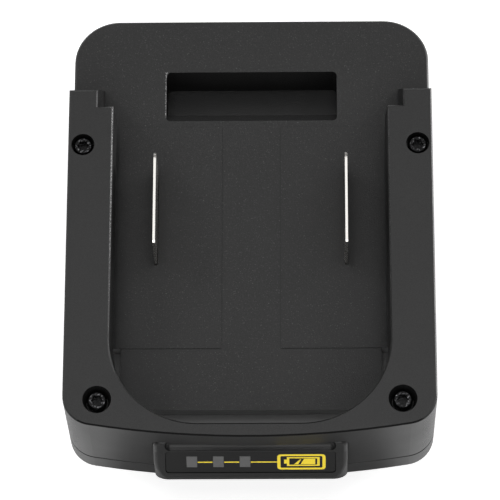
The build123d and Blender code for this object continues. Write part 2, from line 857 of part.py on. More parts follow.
def gauge_switch():
    """The switch body behind the key, with the hole that its plunger runs in."""
    face_y = board_front_y - switch_depth
    z_ends = about(panel_mid_z, switch_height / 2)
    body = block(about(key_offset, switch_width / 2), (face_y, board_front_y), z_ends)
    return body - along_y(plunger_radius + seat_gap, face_y - overrun, face_y + plunger_sink + key_travel)


def along_y(radius, y_low, y_high):
    """A cylinder along Y in line with the key."""
    section = Plane(origin=(key_offset, y_low, panel_mid_z), z_dir=(0, 1, 0))
    return extrude(section * Circle(radius), y_high - y_low)


def switch_plunger():
    """The plunger between the key's nib and the inside of the switch."""
    return along_y(plunger_radius, plunger_tip_y(), board_front_y - switch_depth + plunger_sink)


def protection_board():
    """The main board on its standoffs."""
    length = main_board_rear_y - main_board_front_y
    plan = RectangleRounded(2 * main_board_half, length, main_board_corner_radius)
    board = slab(Pos(0, main_board_front_y + length / 2) * plan, (main_board_z, main_board_top_z))
    through = (main_board_z - overrun, main_board_top_z + overrun)
    for place in board_screw_places():
        board -= post(place, board_screw_radius + seat_gap, through)
    return board


def board_screws():
    """Four screws that hold the main board."""
    length = board_screw_length + main_board_thickness - seat_gap
    head = (board_screw_head_radius, board_screw_head_height)
    screw = small_screw(board_screw_radius, length, *head, main_board_top_z)
    return [Pos(*place) * screw for place in board_screw_places()]


def mosfets():
    """Two power transistors, each a body with a metal tab at its rear."""
    front = main_board_front_y + seat_gap
    rear = front + mosfet_length
    x_ends = about(mosfet_half, mosfet_width / 2)
    case = block(x_ends, (front, rear), (main_board_top_z, main_board_top_z + mosfet_height))
    case = chamfer(case.faces().sort_by(Axis.Z)[-1].edges(), mosfet_chamfer)
    tab_z = (main_board_top_z, main_board_top_z + mosfet_tab_height)
    case += block(x_ends, (rear, rear + mosfet_tab_length), tab_z)
    return [case, mirror(case, Plane.YZ)]


def controller_chip():
    """The controller between the blades' leads."""
    half = chip_size / 2
    z_ends = (main_board_top_z, main_board_top_z + chip_height)
    chip = block(about(0, half), about(main_board_front_y + chip_run, half), z_ends)
    return chamfer(chip.faces().sort_by(Axis.Z)[-1].edges(), chip_chamfer)


def capacitor():
    """A small can capacitor on its square base, between the transistors."""
    half = capacitor_base / 2
    y_mid = main_board_front_y + seat_gap + half
    can_foot_z = main_board_top_z + capacitor_base_height
    base = block(about(0, half), about(y_mid, half), (main_board_top_z, can_foot_z))
    can = post((0, y_mid), capacitor_radius, (can_foot_z, main_board_top_z + capacitor_height))
    return base + chamfer(can.faces().sort_by(Axis.Z)[-1].edges(), capacitor_chamfer)


def fuse():
    """The fuse in the positive line, with a metal cap at each end."""
    front = main_board_front_y + fuse_run
    z_ends = (main_board_top_z, main_board_top_z + fuse_height)
    body = block(about(fuse_offset, fuse_length / 2), (front, front + fuse_width), z_ends)
    return chamfer(body.edges().filter_by(Axis.Y), fuse_chamfer)


def terminal_block():
    """The insulating block in the foot, with a pocket for each clip."""
    y_ends = (hollow_front_y + seat_gap, hollow_rear_y - seat_gap)
    body = block(about(0, hollow_half - seat_gap), y_ends, (block_z, block_top_z))
    body -= terminal_slots(block_z - overrun)
    pocket_z = (block_top_z - clip_height - seat_gap, block_top_z + overrun)
    for x, base_half, length in clip_places():
        pocket_y = (clip_rear_y() - length - seat_gap, clip_rear_y() + seat_gap)
        body -= block(about(x, base_half + seat_gap), pocket_y, pocket_z)
    for x in (-block_post_half, block_post_half):
        body -= post((x, post_y), block_post_radius + seat_gap, (block_z - overrun, post_top_z))
        bore_z = (post_top_z - overrun, block_top_z + overrun)
        body -= post((x, post_y), block_screw_radius + seat_gap, bore_z)
    return body


def clip_rear_y():
    """The mouth end of every clip."""
    return hollow_rear_y - clip_inset


def clip_places():
    """Each clip as its middle, half its base and its length."""
    power = [(-power_slot_half, clip_base_half, clip_length), (power_slot_half, clip_base_half, clip_length)]
    small = clip_base_half * signal_clip_scale_share
    return power + [(n * signal_slot_pitch, small, signal_clip_length) for n in (-1, 0, 1)]


def clip(x, base_half, length):
    """A sprung clip: two leaves that pinch towards a waist, under a flat base with a solder tail."""
    scale_share = base_half / clip_base_half
    waist = clip_waist_half + clip_leaf
    mouth = clip_mouth_half * scale_share
    top = block_top_z
    waist_z = top - clip_height * (1 - clip_waist_share)
    foot = top - clip_height
    outer = [(base_half, top), (base_half, top - clip_leaf), (waist, waist_z), (mouth + clip_leaf / 2, foot)]
    inner = [(mouth - clip_leaf / 2, foot), (clip_waist_half, waist_z)]
    inner += [(base_half - clip_leaf, top - 2 * clip_leaf), (base_half - clip_leaf, top - clip_leaf)]
    half_side = outer + inner + [(0, top - clip_leaf), (0, top)]
    leaf = extrude(Plane.XZ * make_face(Polyline(*half_side, close=True)), -length)
    pair = leaf + mirror(leaf, Plane.YZ)
    tail = block(about(0, base_half), (0, clip_tail_length), (top, top + clip_leaf))
    return Pos(x, clip_rear_y() - length, 0) * (pair + tail)


def terminal_block_screws():
    """Two screws that hold the terminal block down."""
    head = (block_screw_head_radius, block_screw_head_height)
    screw = small_screw(block_screw_radius, block_screw_length, *head, block_top_z)
    return [Pos(x, post_y) * screw for x in (-block_post_half, block_post_half)]


def release_latch():
    """The latch: a ramped tongue, wings inside the housing, and a finger tab under the gauge."""
    tab_front_y = front_y + tab_front_inset
    profile = [
        (tongue_front_y, tongue_z),
        (tongue_rear_y - tongue_ramp, tongue_z),
        (tongue_rear_y, shoulder_z),
        (tongue_rear_y, wing_top_z),
        (tongue_front_y, wing_top_z),
        (tongue_front_y, tab_top_z),
        (tab_front_y, tab_top_z),
        (tab_front_y, tab_z),
        (tongue_front_y, tab_z),
    ]
    body = across(profile, latch_half)
    body = fillet(body.edges().filter_by(Axis.X).sort_by(Axis.Y)[:2], tab_round)
    wing_y = (tongue_front_y - latch_wing_margin, tongue_rear_y)
    body += block(about(0, latch_wing_half), wing_y, (wing_z, wing_top_z))
    for n in range(tab_grip_count):
        y = tab_front_y + tab_round + (n + 1) * tab_grip_pitch
        ridge = [(y - tab_grip_radius, tab_z), (y, tab_z + tab_grip_radius), (y + tab_grip_radius, tab_z)]
        body -= across(ridge, latch_half - tab_round)
    pin_z = (wing_top_z, wing_top_z + spring_pin_height)
    return body + both_sides(post((spring_half, spring_y), spring_pin_radius, pin_z))


def latch_spring(side):
    """One coil spring between the latch's wing and the roof; hidden, so its turns are straight runs."""
    low = wing_top_z + spring_wire_radius + thread_gap
    height = high_roof_z - spring_wire_radius - thread_gap - low
    count = spring_turns * spring_steps
    points = []
    for n in range(count + 1):
        angle = 2 * math.pi * n / spring_steps
        points.append((spring_radius * math.cos(angle), spring_radius * math.sin(angle), height * n / count))
    path = Pos(side * spring_half, spring_y, low) * Polyline(*points)
    start = Plane(origin=path @ 0, x_dir=(0, 0, 1), z_dir=path % 0)
    wire = Rectangle(2 * spring_wire_radius, 2 * spring_wire_radius)
    return sweep(start * wire, path=path, transition=Transition.RIGHT)


def blade_lead(side):
    """The lead from a blade's tab to the main board."""
    x = side * (blade_x - blade_tab_width / 2)
    under_tab = carrier_z - blade_thickness - power_lead_radius
    on_board = main_board_top_z + power_lead_radius + thread_gap
    tab_y = blade_front_y + blade_tab_length / 2
    board_y = main_board_front_y + power_lead_radius
    route = [
        (x, tab_y, under_tab),
        (x, blade_front_y - power_lead_radius, under_tab),
        (x, board_y + power_lead_rest, on_board),
        (x, board_y, on_board),
    ]
    return lead(route, power_lead_radius)


def output_lead(side):
    """The lead from the main board down to a power clip."""
    on_board = main_board_top_z + power_lead_radius + thread_gap
    tail_front_y = clip_rear_y() - clip_length
    on_tail = block_top_z + clip_leaf + power_lead_radius
    x_board = side * output_lead_half
    x_middle = side * (output_lead_half + power_slot_half) / 2
    route = [
        (x_board, main_board_rear_y - 2 * lead_overhang, on_board),
        (x_board, main_board_rear_y + lead_overhang, on_board),
        (x_middle, tail_front_y - clip_tail_length - power_lead_radius, on_tail + thread_gap),
        (side * power_slot_half, tail_front_y + clip_tail_length / 2, on_tail + thread_gap),
    ]
    return lead(route, power_lead_radius)


def signal_leads():
    """Three thin leads from the main board to the signal clips."""
    on_board = main_board_top_z + signal_lead_radius + thread_gap
    tail_y = clip_rear_y() - signal_clip_length + clip_tail_length / 2
    on_tail = block_top_z + clip_leaf + signal_lead_radius + thread_gap
    wires = []
    for n in (-1, 0, 1):
        x = n * signal_slot_pitch
        route = [
            (x, main_board_rear_y - lead_overhang, on_board),
            (x, main_board_rear_y + lead_overhang, on_board),
            (x, main_board_rear_y + 2 * lead_overhang, on_tail),
            (x, tail_y, on_tail),
        ]
        wires.append(lead(route, signal_lead_radius))
    return wires


def gauge_leads():
    """Thin leads from the gauge board, beside the latch, to the main board."""
    wires = []
    level = low_roof_z - gauge_lead_radius - seat_gap
    on_board = main_board_top_z + gauge_lead_radius + thread_gap
    beside = latch_wing_half + slide_gap + guide_rib_thickness + slide_gap + gauge_lead_radius
    for n in range(gauge_lead_count):
        x_gauge = -board_half + (n + 1) * gauge_lead_pitch
        x_board = -beside - (gauge_lead_count - n) * gauge_lead_pitch
        route = [
            (x_gauge, board_back_y + thread_gap, level),
            (x_gauge, board_back_y + (n + 2) * gauge_lead_pitch, level),
            (x_board, tongue_front_y, level),
            (x_board, main_board_front_y - gauge_lead_rest, on_board),
            (x_board, main_board_front_y + gauge_lead_rest, on_board),
        ]
        wires.append(lead(route, gauge_lead_radius))
    return wires


def save(name, shape):
    """Write one node; a list is a group of separate solids."""
    whole = Compound(children=list(shape)) if isinstance(shape, list) else shape
    export_step(whole, os.path.join("parts", name + ".step"))


def main():
    os.makedirs("parts", exist_ok=True)
    right_blade = blade()
    nodes = {
        "upper_housing": upper_housing(),
        "lower_housing": lower_housing(),
        "housing_screws": housing_screws(),
        "positive_blade": right_blade,
        "negative_blade": mirror(right_blade, Plane.YZ),
        "blade_carrier": blade_carrier(),
        "carrier_screws": carrier_screws(),
        "gauge_bezel": gauge_bezel(),
        "gauge_panel": gauge_panel(),
        "light_guide": light_guide(),
        "gauge_key": gauge_key(),
        "gauge_board": gauge_board(),
        "gauge_leds": gauge_leds(),
        "gauge_switch": gauge_switch(),
        "switch_plunger": switch_plunger(),
        "protection_board": protection_board(),
        "board_screws": board_screws(),
        "mosfets": mosfets(),
        "controller_chip": controller_chip(),
        "capacitor": capacitor(),
        "fuse": fuse(),
        "terminal_block": terminal_block(),
        "positive_clip": clip(*clip_places()[1]),
        "negative_clip": clip(*clip_places()[0]),
        "signal_clips": [clip(*place) for place in clip_places()[2:]],
        "terminal_block_screws": terminal_block_screws(),
        "release_latch": release_latch(),
        "latch_spring_left": latch_spring(-1),
        "latch_spring_right": latch_spring(1),
        "positive_lead": blade_lead(1),
        "negative_lead": blade_lead(-1),
        "positive_output_lead": output_lead(1),
        "negative_output_lead": output_lead(-1),
        "signal_leads": signal_leads(),
        "gauge_leads": gauge_leads(),
    }
    for name, shape in nodes.items():
        save(name, shape)


main()
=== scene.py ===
import math

import bpy
from mathutils import Matrix, Vector


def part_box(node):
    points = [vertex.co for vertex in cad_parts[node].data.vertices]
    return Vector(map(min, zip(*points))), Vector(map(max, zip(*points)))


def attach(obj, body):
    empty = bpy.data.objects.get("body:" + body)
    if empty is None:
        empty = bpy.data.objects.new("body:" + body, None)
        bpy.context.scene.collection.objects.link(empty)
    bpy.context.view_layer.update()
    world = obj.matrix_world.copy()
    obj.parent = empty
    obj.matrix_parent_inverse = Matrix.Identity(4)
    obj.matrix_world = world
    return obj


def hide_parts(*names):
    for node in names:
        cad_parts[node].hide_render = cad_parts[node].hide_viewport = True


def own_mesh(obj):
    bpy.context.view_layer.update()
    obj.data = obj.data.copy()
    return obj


# Tool battery adapter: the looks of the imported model, in metres, in the same frame as the CAD.
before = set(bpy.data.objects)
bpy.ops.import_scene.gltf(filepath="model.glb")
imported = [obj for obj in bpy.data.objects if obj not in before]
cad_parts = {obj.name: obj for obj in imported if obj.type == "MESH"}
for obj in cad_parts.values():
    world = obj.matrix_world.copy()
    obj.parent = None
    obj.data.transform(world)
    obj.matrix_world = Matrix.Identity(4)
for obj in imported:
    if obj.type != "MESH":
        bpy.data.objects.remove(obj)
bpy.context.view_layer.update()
mm = 0.001

# The gauge's face, as in the part: a panel tilted back, with three windows and a key beside them
GAUGE_TILT = math.radians(30.0)
PANEL_HEIGHT = 5.5 * mm
WINDOW_WIDTH = 2.15 * mm
WINDOW_CENTRES = [-11.85 * mm, -6.49 * mm, -1.13 * mm]
KEY_CENTRE = 10.25 * mm

# The prints on that face: yellow ink over a dark blue underprint that shows as a thin edge
INK_THICKNESS = 0.03 * mm
UNDERPRINT_THICKNESS = 0.015 * mm
UNDERPRINT_EDGE = 0.14 * mm
LINE_WIDTH = 0.27 * mm
LINE_GAP = 0.1 * mm
FRAME_WIDTH = 9.73 * mm
FRAME_HEIGHT = 4.06 * mm
FRAME_STROKE = (0.63 * mm, 0.46 * mm)
FRAME_CORNER = 0.7 * mm

# The battery symbol, measured from the left end and the middle of its case
SYMBOL_LEFT = KEY_CENTRE - 2.93 * mm
SYMBOL_Y = 0.1 * mm
SYMBOL_EDGE = 0.1 * mm
CASE_SIZE = (6.6 * mm, 2.37 * mm)
CASE_STROKE = (0.48 * mm, 0.33 * mm)
NUB_X = (-0.56 * mm, 0.02 * mm)
NUB_HALF = 0.52 * mm
BAR_X = (1.45 * mm, 2.27 * mm)
FILL_X = (2.77 * mm, 5.7 * mm)
FILL_Y = (-0.72 * mm, 0.74 * mm)
FILL_LEAN = 0.68 * mm

# The upper housing, as in the part, where the polish of its material changes and where light and shade are
# painted on it
OUTER_WALL_X = 37.2 * mm
FRONT_WALL_Y = -43.6 * mm
RIM_ABOVE = 30 * mm
CHAMFERS_ABOVE = 37 * mm
LIP_X = 29.5 * mm
# each of these is a middle and half a length
GUTTER_Y = (-40.6 * mm, 3.85 * mm)
GUTTER_Z = (23.7 * mm, 1.25 * mm)
GUTTER_X = 28.5 * mm
PAD_GAP_X = (29.0 * mm, 2.35 * mm)
PAD_GAP_Y = (-30.2 * mm, 6.9 * mm)
POCKET_EDGE_X = (-18.0 * mm, 0.25 * mm)
POCKET_Y = (33.8 * mm, 5.2 * mm)
POCKET_ABOVE = 24.2 * mm

# The housing screws on the right side; those on the left mirror them
REAR_SCREW = (34.45 * mm, 16.25 * mm, 0)
FRONT_SCREW = (30.55 * mm, -39.35 * mm, 0)
SOCKET_RING = (1.3 * mm, 0.3 * mm)

# What a Math node does with its inputs; NEAR is 1 within its third input of the second
TIMES = {"operation": "MULTIPLY"}
POWER = {"operation": "POWER"}
LARGER = {"operation": "MAXIMUM"}
SMALLER = {"operation": "MINIMUM"}
SIZE = {"operation": "ABSOLUTE"}
ABOVE = {"operation": "GREATER_THAN"}
BELOW = {"operation": "LESS_THAN"}
NEAR = {"operation": "COMPARE"}
# and what a Mix node needs to mix colours
COLOURS = {"data_type": "RGBA"}


def wake(obj):
    """Select one object alone and make it the active one."""
    bpy.ops.object.select_all(action="DESELECT")
    obj.select_set(True)
    bpy.context.view_layer.objects.active = obj


def select_points(obj, chosen):
    """Go into edit mode with only the chosen points selected."""
    wake(obj)
    bpy.ops.object.mode_set(mode="EDIT")
    bpy.ops.mesh.select_mode(type="VERT")
    bpy.ops.mesh.select_all(action="DESELECT")
    bpy.ops.object.mode_set(mode="OBJECT")
    for vertex in obj.data.vertices:
        vertex.select = chosen(vertex.co)
    bpy.ops.object.mode_set(mode="EDIT")


def flat_bar(name, x_ends, y_ends, lean=(0.0, 0.0)):
    """A flat printed bar; lean moves the tops of its left and right ends sideways."""
    bpy.ops.object.select_all(action="DESELECT")
    middle = (sum(x_ends) / 2, sum(y_ends) / 2)
    bpy.ops.mesh.primitive_plane_add(size=1.0, location=(*middle, 0))
    obj = bpy.context.object
    obj.name = obj.data.name = name
    obj.scale = (x_ends[1] - x_ends[0], y_ends[1] - y_ends[0], 1.0)
    bpy.ops.object.transform_apply(location=True, rotation=True, scale=True)
    for shift, side in zip(lean, (-1, 1)):
        select_points(obj, lambda co: co.y > middle[1] and (co.x - middle[0]) * side > 0)
        bpy.ops.transform.translate(value=(shift, 0, 0))
        bpy.ops.object.mode_set(mode="OBJECT")
    return obj


def flat_ring(name, centre, size, stroke, corner=0.0):
    """A printed frame with its own stroke across and along, and corners cut off."""
    x_ends = (centre[0] - size[0] / 2, centre[0] + size[0] / 2)
    y_ends = (centre[1] - size[1] / 2, centre[1] + size[1] / 2)
    obj = flat_bar(name, x_ends, y_ends)
    select_points(obj, lambda co: True)
    if corner:
        bpy.ops.mesh.bevel(offset=corner, segments=3, affect="VERTICES")
        bpy.ops.mesh.select_all(action="SELECT")
    bpy.ops.mesh.inset(thickness=stroke[1], depth=0)
    squeeze = (size[0] - 2 * stroke[0]) / (size[0] - 2 * stroke[1])
    bpy.ops.transform.resize(value=(squeeze, 1, 1), center_override=(*centre, 0))
    bpy.ops.mesh.delete(type="FACE")
    bpy.ops.object.mode_set(mode="OBJECT")
    return obj


def join(pieces, name):
    """One object from several."""
    wake(pieces[0])
    for piece in pieces:
        piece.select_set(True)
    bpy.ops.object.join()
    pieces[0].name = pieces[0].data.name = name
    return pieces[0]


def panel_matrix():
    """Where the gauge's face lies: X to the right, Y up along the face, Z out of it."""
    low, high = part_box("gauge_panel")
    up = Vector((0, math.sin(GAUGE_TILT), math.cos(GAUGE_TILT)))
    out = Vector((0, -math.cos(GAUGE_TILT), math.sin(GAUGE_TILT)))
    # The box also holds the panel's thickness, which lies behind the face's lower front edge
    drop = high[2] - low[2] - PANEL_HEIGHT * math.cos(GAUGE_TILT)
    matrix = Matrix((Vector((1, 0, 0)), up, out)).transposed().to_4x4()
    matrix.translation = Vector((0, low[1], low[2] + drop)) + up * (PANEL_HEIGHT / 2)
    return matrix


def lay_on_panel(obj, ink, thickness, body):
    """Give a flat print its thickness, its ink and its place on the gauge's face."""
    select_points(obj, lambda co: True)
    bpy.ops.mesh.normals_make_consistent(inside=False)
    bpy.ops.mesh.extrude_region_move(TRANSFORM_OT_translate={"value": (0, 0, thickness)})
    bpy.ops.mesh.select_all(action="SELECT")
    bpy.ops.mesh.normals_make_consistent(inside=False)
    bpy.ops.object.mode_set(mode="OBJECT")
    obj.matrix_world = panel_matrix()
    wake(obj)
    bpy.ops.object.transform_apply(location=True, rotation=True, scale=True)
    obj.data.materials.clear()
    obj.data.materials.append(ink)
    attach(obj, body)


# Colour, from the hex value that the eye sees to what the renderer takes
def colour(hex_value):
    channels = [int(hex_value[i:i + 2], 16) / 255 for i in (1, 3, 5)]
    linear = [c / 12.92 if c <= 0.04045 else ((c + 0.055) / 1.055) ** 2.4 for c in channels]
    return (*linear, 1.0)


def add(tree, kind, settings=None, **sockets):
    """One node, with its settings, and its sockets given as values or as other nodes' outputs."""
    node = tree.nodes.new(kind)
    for name, value in (settings or {}).items():
        setattr(node, name, value)
    for name, value in sockets.items():
        socket = node.inputs[int(name[1:])] if name[0] == "_" else node.inputs[name.replace("_", " ")]
        if isinstance(value, bpy.types.NodeSocket):
            tree.links.new(value, socket)
        else:
            socket.default_value = value
    return node


def new_finish(name):
    """An empty material with its node tree."""
    material = bpy.data.materials.new(name)
    material.use_nodes = True
    material.node_tree.nodes.clear()
    return material, material.node_tree


def moulded_nylon():
    """Glass-filled black nylon, moulded: polished rim and outer walls, spark-eroded grain inside.

    The polished stretches look even and satin. The grained ones sparkle a little, because
    each pit of the grain mirrors another part of the room, and pale specks on them are painted glints.
    """
    material, tree = new_finish("moulded_glass_filled_nylon")
    place = add(tree, "ShaderNodeTexCoord")
    point = place.outputs["Object"]
    facing = add(tree, "ShaderNodeSeparateXYZ", Vector=place.outputs["Normal"])
    where = add(tree, "ShaderNodeSeparateXYZ", Vector=point)
    # Polished steel made the flat rim, which is all that faces straight up that high
    flat = add(tree, "ShaderNodeMath", ABOVE, _0=facing.outputs["Z"], _1=0.95)
    high = add(tree, "ShaderNodeMath", ABOVE, _0=where.outputs["Z"], _1=RIM_ABOVE)
    rim = add(tree, "ShaderNodeMath", TIMES, _0=flat.outputs[0], _1=high.outputs[0])
    # and the outer walls at the sides and at the front
    across = add(tree, "ShaderNodeMath", SIZE, _0=where.outputs["X"])
    side = add(tree, "ShaderNodeMath", ABOVE, _0=across.outputs[0], _1=OUTER_WALL_X)
    front = add(tree, "ShaderNodeMath", BELOW, _0=where.outputs["Y"], _1=FRONT_WALL_Y)
    outer = add(tree, "ShaderNodeMath", LARGER, _0=side.outputs[0], _1=front.outputs[0])
    smooth = add(tree, "ShaderNodeMath", LARGER, _0=rim.outputs[0], _1=outer.outputs[0])
    rough = add(tree, "ShaderNodeMapRange", Value=smooth.outputs[0], To_Min=1.0, To_Max=0.04)
    # Erosion pits are about 0.1 mm; they are drawn at 0.22 mm, so that they still show in the render
    pits = add(tree, "ShaderNodeTexNoise", Vector=point, Scale=1 / (0.22 * mm), Detail=2.0, Roughness=0.7)
    depth = add(tree, "ShaderNodeMath", TIMES, _0=pits.outputs["Fac"], _1=rough.outputs["Result"])
    relief = add(tree, "ShaderNodeBump", Strength=0.8, Distance=0.1 * mm, Height=depth.outputs[0])
    # A few pale specks on the grain are painted glints
    ends = add(tree, "ShaderNodeTexNoise", Vector=point, Scale=1 / (0.22 * mm), Detail=1.0)
    painted_glint = add(tree, "ShaderNodeMapRange", Value=ends.outputs["Fac"], From_Min=0.68, From_Max=0.8)
    shown = add(tree, "ShaderNodeMath", TIMES, _0=painted_glint.outputs["Result"], _1=rough.outputs["Result"])
    mottle = add(tree, "ShaderNodeMapRange", Value=pits.outputs["Fac"], From_Min=0.35, From_Max=0.65)
    tone = add(tree, "ShaderNodeMix", COLOURS, Factor=mottle.outputs["Result"],
               A=colour("#181818"), B=colour("#242424"))
    with_painted_glints = add(tree, "ShaderNodeMix", COLOURS, Factor=shown.outputs[0],
                A=tone.outputs["Result"], B=colour("#585858"))
    # The gutter at the closed end is painted paler: painted light in its shade
    along = add(tree, "ShaderNodeMath", NEAR, _0=where.outputs["Y"], _1=GUTTER_Y[0], _2=GUTTER_Y[1])
    level = add(tree, "ShaderNodeMath", NEAR, _0=where.outputs["Z"], _1=GUTTER_Z[0], _2=GUTTER_Z[1])
    inside = add(tree, "ShaderNodeMath", BELOW, _0=across.outputs[0], _1=GUTTER_X)
    strip = add(tree, "ShaderNodeMath", TIMES, _0=along.outputs[0], _1=inside.outputs[0])
    # and the gap on each side of the pad is painted paler in the same way
    abreast = add(tree, "ShaderNodeMath", NEAR, _0=across.outputs[0], _1=PAD_GAP_X[0], _2=PAD_GAP_X[1])
    back = add(tree, "ShaderNodeMath", NEAR, _0=where.outputs["Y"], _1=PAD_GAP_Y[0], _2=PAD_GAP_Y[1])
    gap = add(tree, "ShaderNodeMath", TIMES, _0=abreast.outputs[0], _1=back.outputs[0])
    painted_light_places = add(tree, "ShaderNodeMath", LARGER, _0=strip.outputs[0], _1=gap.outputs[0])
    gutter = add(tree, "ShaderNodeMath", TIMES, _0=painted_light_places.outputs[0], _1=level.outputs[0])
    # most of all on what stands upright, which gets the least light there: painted light
    painted_light_tone = add(tree, "ShaderNodeMix", COLOURS, Factor=facing.outputs["Z"],
                A=colour("#a4a4a4"), B=colour("#4e4e4e"))
    with_painted_light = add(tree, "ShaderNodeMix", COLOURS, Factor=gutter.outputs[0],
                  A=with_painted_glints.outputs["Result"], B=painted_light_tone.outputs["Result"])
    # Elsewhere the corners and recesses are painted near black by their ambient occlusion: painted shade
    painted_corner_shade = add(tree, "ShaderNodeAmbientOcclusion", {"samples": 8}, Distance=9 * mm)
    painted_light_and_shade_mask = add(tree, "ShaderNodeMath", POWER, _0=painted_corner_shade.outputs["AO"], _1=2.2)
    pale = add(tree, "ShaderNodeMath", LARGER, _0=painted_light_and_shade_mask.outputs[0], _1=gutter.outputs[0])
    deep = add(tree, "ShaderNodeMix", COLOURS, Factor=pale.outputs[0],
               A=colour("#040404"), B=with_painted_light.outputs["Result"])
    # The lips' inner chamfers are painted with a bright, broken grain, the left one's more than the
    # right one's, and least at the closed end: painted highlights
    slant = add(tree, "ShaderNodeMath", NEAR, _0=facing.outputs["Z"], _1=0.7, _2=0.22)
    lips = add(tree, "ShaderNodeMath", ABOVE, _0=where.outputs["Z"], _1=CHAMFERS_ABOVE)
    edge = add(tree, "ShaderNodeMath", TIMES, _0=slant.outputs[0], _1=lips.outputs[0])
    middle = add(tree, "ShaderNodeMath", BELOW, _0=across.outputs[0], _1=LIP_X)
    inner = add(tree, "ShaderNodeMath", TIMES, _0=edge.outputs[0], _1=middle.outputs[0])
    reach = add(tree, "ShaderNodeMapRange", Value=where.outputs["Y"], From_Min=-24 * mm, From_Max=5 * mm)
    near = add(tree, "ShaderNodeMath", TIMES, _0=inner.outputs[0], _1=reach.outputs["Result"])
    sided = add(tree, "ShaderNodeMapRange", Value=where.outputs["X"], From_Max=10 * mm,
                To_Min=1.0, To_Max=0.2)
    lip = add(tree, "ShaderNodeMath", TIMES, _0=near.outputs[0], _1=sided.outputs["Result"])
    # The pocket's left edge gets the same painted highlight
    beside = add(tree, "ShaderNodeMath", NEAR, _0=where.outputs["X"], _1=POCKET_EDGE_X[0], _2=POCKET_EDGE_X[1])
    behind = add(tree, "ShaderNodeMath", NEAR, _0=where.outputs["Y"], _1=POCKET_Y[0], _2=POCKET_Y[1])
    top = add(tree, "ShaderNodeMath", ABOVE, _0=where.outputs["Z"], _1=POCKET_ABOVE)
    brink = add(tree, "ShaderNodeMath", TIMES, _0=beside.outputs[0], _1=behind.outputs[0])
    pocket = add(tree, "ShaderNodeMath", TIMES, _0=brink.outputs[0], _1=top.outputs[0])
    painted_highlight_edges = add(tree, "ShaderNodeMath", LARGER, _0=lip.outputs[0], _1=pocket.outputs[0])
    broken = add(tree, "ShaderNodeMapRange", Value=ends.outputs["Fac"], From_Min=0.47, From_Max=0.62)
    bright = add(tree, "ShaderNodeMath", TIMES, _0=painted_highlight_edges.outputs[0], _1=broken.outputs["Result"])
    grained = add(tree, "ShaderNodeMix", COLOURS, Factor=bright.outputs[0],
                  A=deep.outputs["Result"], B=colour("#989898"))
    # Along the rim's front edge the chamfer is painted as a thin black, dull line: painted shade
    line = add(tree, "ShaderNodeMath", TIMES, _0=edge.outputs[0], _1=front.outputs[0])
    body = add(tree, "ShaderNodeMix", COLOURS, Factor=line.outputs[0],
               A=grained.outputs["Result"], B=colour("#060606"))
    # Handling leaves the gloss uneven over a few millimetres
    cloud = add(tree, "ShaderNodeTexNoise", Vector=point, Scale=1 / (7 * mm), Detail=3.0)
    gloss = add(tree, "ShaderNodeMapRange", Value=cloud.outputs["Fac"], To_Min=0.38, To_Max=0.48)
    dull = add(tree, "ShaderNodeMath", LARGER, _0=line.outputs[0], _1=gloss.outputs["Result"])
    shader = add(tree, "ShaderNodeBsdfPrincipled", Base_Color=body.outputs["Result"], Roughness=dull.outputs[0],
                 IOR=1.5, Specular_IOR_Level=0.36, Normal=relief.outputs["Normal"])
    add(tree, "ShaderNodeOutputMaterial", Surface=shader.outputs["BSDF"])
    return material


def gauge_face():
    """Polycarbonate overlay with a fine matt coat: dark, even, with almost no shine."""
    material, tree = new_finish("matt_polycarbonate_overlay")
    point = add(tree, "ShaderNodeTexCoord").outputs["Object"]
    # The coat's grain is under 0.1 mm and is drawn at 0.16 mm
    fine = add(tree, "ShaderNodeTexNoise", Vector=point, Scale=1 / (0.16 * mm))
    tone = add(tree, "ShaderNodeMix", COLOURS, Factor=fine.outputs["Fac"],
               A=colour("#0e0e0e"), B=colour("#141414"))
    relief = add(tree, "ShaderNodeBump", Strength=0.15, Distance=0.01 * mm, Height=fine.outputs["Fac"])
    shader = add(tree, "ShaderNodeBsdfPrincipled", Base_Color=tone.outputs["Result"], Roughness=0.55, IOR=1.5,
                 Specular_IOR_Level=0.35, Normal=relief.outputs["Normal"])
    add(tree, "ShaderNodeOutputMaterial", Surface=shader.outputs["BSDF"])
    return material


def smoked_window():
    """Smoked polycarbonate light windows, unlit: an even grey from the frosted back."""
    material, tree = new_finish("smoked_polycarbonate")
    point = add(tree, "ShaderNodeTexCoord").outputs["Object"]
    frost = add(tree, "ShaderNodeTexNoise", Vector=point, Scale=1 / (0.3 * mm))
    tone = add(tree, "ShaderNodeMix", COLOURS, Factor=frost.outputs["Fac"],
               A=colour("#565656"), B=colour("#5e5e5e"))
    shader = add(tree, "ShaderNodeBsdfPrincipled", Base_Color=tone.outputs["Result"], Roughness=0.4, IOR=1.58,
                 Coat_Weight=0.2)
    add(tree, "ShaderNodeOutputMaterial", Surface=shader.outputs["BSDF"])
    return material


def screen_ink(name, low, high):
    """Screen-printing ink: matt and even, with the faint mottle of the mesh that it went through."""
    material, tree = new_finish(name)
    point = add(tree, "ShaderNodeTexCoord").outputs["Object"]
    mesh = add(tree, "ShaderNodeTexNoise", Vector=point, Scale=1 / (0.25 * mm), Detail=2.0)
    tone = add(tree, "ShaderNodeMix", COLOURS, Factor=mesh.outputs["Fac"],
               A=colour(low), B=colour(high))
    shader = add(tree, "ShaderNodeBsdfPrincipled", Base_Color=tone.outputs["Result"], Roughness=0.55, IOR=1.5)
    add(tree, "ShaderNodeOutputMaterial", Surface=shader.outputs["BSDF"])
    return material


